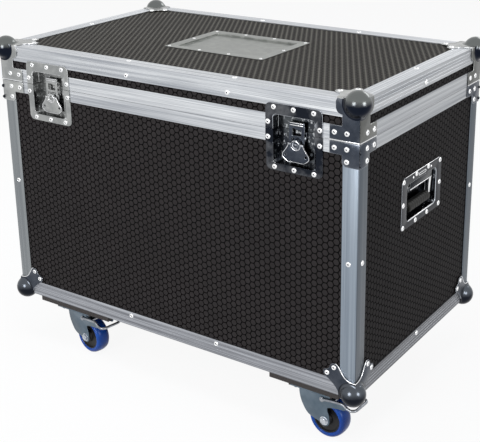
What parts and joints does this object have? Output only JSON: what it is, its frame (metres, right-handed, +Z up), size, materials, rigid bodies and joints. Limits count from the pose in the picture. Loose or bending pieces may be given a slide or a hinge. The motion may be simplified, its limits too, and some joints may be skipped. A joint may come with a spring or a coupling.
{
  "type": "flight case",
  "caption": "Lighting flight case on swivel casters: dark laminate panels in aluminium angle, ball corners, recessed butterfly latches and handles, hinged lid, foam-lined compartments",
  "frame": {"origin": "centre of the bounding box in X and Y, on the floor under the casters", "axes": "+X along the long front, +Y from the latched front to the hinged back, +Z up"},
  "size_m": [0.831, 0.505, 0.6518],
  "materials": {
    "laminate": "near-black hexagon-textured phenolic face on birch plywood, satin",
    "angle": "mill-finish extruded angle with fine ribs, satin",
    "pressed_steel": "bright zinc-plated pressed steel with light handling wear",
    "label_steel": "dull galvanised sheet",
    "fork_steel": "blue-white zinc, satin",
    "grip": "zinc rod with a moulded black rubber grip",
    "tyre_blue": "blue elastic rubber tyre on a black nylon core",
    "board": "dark-stained plywood with worn edges",
    "foam": "charcoal polyethylene foam, matt",
    "divider": "plywood divider wrapped in charcoal felt, matt"
  },
  "bodies": {
    "case": {"front_panel": "laminate", "back_panel": "laminate", "left_panel": "laminate", "right_panel": "laminate", "floor_panel": "laminate", "bottom_edge_frame": "angle", "base_rail_frame": "angle", "base_rail_front": "angle", "corner_post_front_left": "angle", "base_corner_front_left": "pressed_steel", "corner_post_front_right": "angle", "base_corner_front_right": "pressed_steel", "corner_post_back_right": "angle", "base_corner_back_right": "pressed_steel", "corner_post_back_left": "angle", "base_corner_back_left": "pressed_steel", "latch_dish_lower_left": "pressed_steel", "handle_dish_left": "pressed_steel", "hinge_leaf_base_left": "pressed_steel", "caster_board_left": "board", "latch_dish_lower_right": "pressed_steel", "handle_dish_right": "pressed_steel", "hinge_leaf_base_right": "pressed_steel", "caster_board_right": "board", "foam_liner": "foam", "divider_lattice": "divider"},
    "lid": {"lid_top_panel": "laminate", "lid_band": "laminate", "lid_edge_frame": "angle", "lid_rail_frame": "angle", "lid_rail_front": "angle", "label_dish": "label_steel", "lid_foam": "foam", "lid_corner_front_left": "pressed_steel", "lid_corner_front_right": "pressed_steel", "lid_corner_back_right": "pressed_steel", "lid_corner_back_left": "pressed_steel", "latch_dish_upper_left": "pressed_steel", "hinge_leaf_lid_left": "pressed_steel", "latch_dish_upper_right": "pressed_steel", "hinge_leaf_lid_right": "pressed_steel"},
    "latch_cam_left": {"latch_cam_left": "pressed_steel"},
    "latch_wing_left": {"latch_wing_left": "pressed_steel"},
    "latch_tongue_left": {"latch_tongue_left": "pressed_steel"},
    "handle_bail_left": {"handle_bail_left": "grip"},
    "swivel_front_left": {"caster_fork_front_left": "fork_steel"},
    "wheel_front_left": {"caster_wheel_front_left": "tyre_blue"},
    "swivel_rear_left": {"caster_fork_rear_left": "fork_steel"},
    "wheel_rear_left": {"caster_wheel_rear_left": "tyre_blue"},
    "brake_left": {"brake_pedal_left": "pressed_steel"},
    "latch_cam_right": {"latch_cam_right": "pressed_steel"},
    "latch_wing_right": {"latch_wing_right": "pressed_steel"},
    "latch_tongue_right": {"latch_tongue_right": "pressed_steel"},
    "handle_bail_right": {"handle_bail_right": "grip"},
    "swivel_front_right": {"caster_fork_front_right": "fork_steel"},
    "wheel_front_right": {"caster_wheel_front_right": "tyre_blue"},
    "swivel_rear_right": {"caster_fork_rear_right": "fork_steel"},
    "wheel_rear_right": {"caster_wheel_rear_right": "tyre_blue"},
    "brake_right": {"brake_pedal_right": "pressed_steel"}
  },
  "joints": [
    {"name": "lid_hinge", "type": "hinge", "parent": "case", "child": "lid", "pos_m": [0, 0.242, 0.5658], "axis": [-1, 0, 0], "range_deg": [0, 100]},
    {"name": "latch_twist_left", "type": "hinge", "parent": "case", "child": "latch_cam_left", "pos_m": [-0.278, -0.237, 0.5428], "axis": [0, -1, 0], "range_deg": [0, 180]},
    {"name": "latch_fold_left", "type": "hinge", "parent": "latch_cam_left", "child": "latch_wing_left", "pos_m": [-0.278, -0.2312, 0.5428], "axis": [-1, 0, 0], "range_deg": [0, 90]},
    {"name": "latch_slide_left", "type": "slide", "parent": "case", "child": "latch_tongue_left", "axis": [0, 0.3198, -0.9475], "range_m": [0, 0.00844]},
    {"name": "handle_left", "type": "hinge", "parent": "case", "child": "handle_bail_left", "pos_m": [-0.3915, 0, 0.4336], "axis": [0, 1, 0], "range_deg": [0, 90], "stiffness_Nm_per_rad": 0.3, "springref_deg": -20.05},
    {"name": "swivel_front_left", "type": "hinge", "parent": "case", "child": "swivel_front_left", "pos_m": [-0.256, -0.204, 0.08], "axis": [0, 0, 1], "continuous": true},
    {"name": "spin_front_left", "type": "hinge", "parent": "swivel_front_left", "child": "wheel_front_left", "pos_m": [-0.23236, -0.20817, 0.0375], "axis": [0.1736, 0.9848, 0], "continuous": true},
    {"name": "brake_left", "type": "hinge", "parent": "swivel_front_left", "child": "brake_left", "pos_m": [-0.2363, -0.20747, 0.08], "axis": [0.1736, 0.9848, 0], "range_deg": [0, 10], "stiffness_Nm_per_rad": 0.6, "springref_deg": -20.05},
    {"name": "swivel_rear_left", "type": "hinge", "parent": "case", "child": "swivel_rear_left", "pos_m": [-0.256, 0.204, 0.08], "axis": [0, 0, 1], "continuous": true},
    {"name": "spin_rear_left", "type": "hinge", "parent": "swivel_rear_left", "child": "wheel_rear_left", "pos_m": [-0.23213, 0.20651, 0.0375], "axis": [-0.1045, 0.9945, 0], "continuous": true},
    {"name": "latch_twist_right", "type": "hinge", "parent": "case", "child": "latch_cam_right", "pos_m": [0.278, -0.237, 0.5428], "axis": [0, -1, 0], "range_deg": [0, 180]},
    {"name": "latch_fold_right", "type": "hinge", "parent": "latch_cam_right", "child": "latch_wing_right", "pos_m": [0.278, -0.2312, 0.5428], "axis": [-1, 0, 0], "range_deg": [0, 90]},
    {"name": "latch_slide_right", "type": "slide", "parent": "case", "child": "latch_tongue_right", "axis": [0, 0.3198, -0.9475], "range_m": [0, 0.00844]},
    {"name": "handle_right", "type": "hinge", "parent": "case", "child": "handle_bail_right", "pos_m": [0.3915, 0, 0.4336], "axis": [0, -1, 0], "range_deg": [0, 90], "stiffness_Nm_per_rad": 0.3, "springref_deg": -20.05},
    {"name": "swivel_front_right", "type": "hinge", "parent": "case", "child": "swivel_front_right", "pos_m": [0.31, -0.204, 0.08], "axis": [0, 0, 1], "continuous": true},
    {"name": "spin_front_right", "type": "hinge", "parent": "swivel_front_right", "child": "wheel_front_right", "pos_m": [0.33397, -0.20526, 0.0375], "axis": [0.0523, 0.9986, 0], "continuous": true},
    {"name": "brake_right", "type": "hinge", "parent": "swivel_front_right", "child": "brake_right", "pos_m": [0.32997, -0.20505, 0.08], "axis": [0.0523, 0.9986, 0], "range_deg": [0, 10], "stiffness_Nm_per_rad": 0.6, "springref_deg": -20.05},
    {"name": "swivel_rear_right", "type": "hinge", "parent": "case", "child": "swivel_rear_right", "pos_m": [0.31, 0.204, 0.08], "axis": [0, 0, 1], "continuous": true},
    {"name": "spin_rear_right", "type": "hinge", "parent": "swivel_rear_right", "child": "wheel_rear_right", "pos_m": [0.28613, 0.20651, 0.0375], "axis": [-0.1045, -0.9945, 0], "continuous": true}
  ],
  "couplings": [
    {"joint": "latch_slide_left", "follows": "latch_twist_left", "m_per_rad": 0.0026875},
    {"joint": "latch_slide_right", "follows": "latch_twist_right", "m_per_rad": 0.0026875}
  ]
}
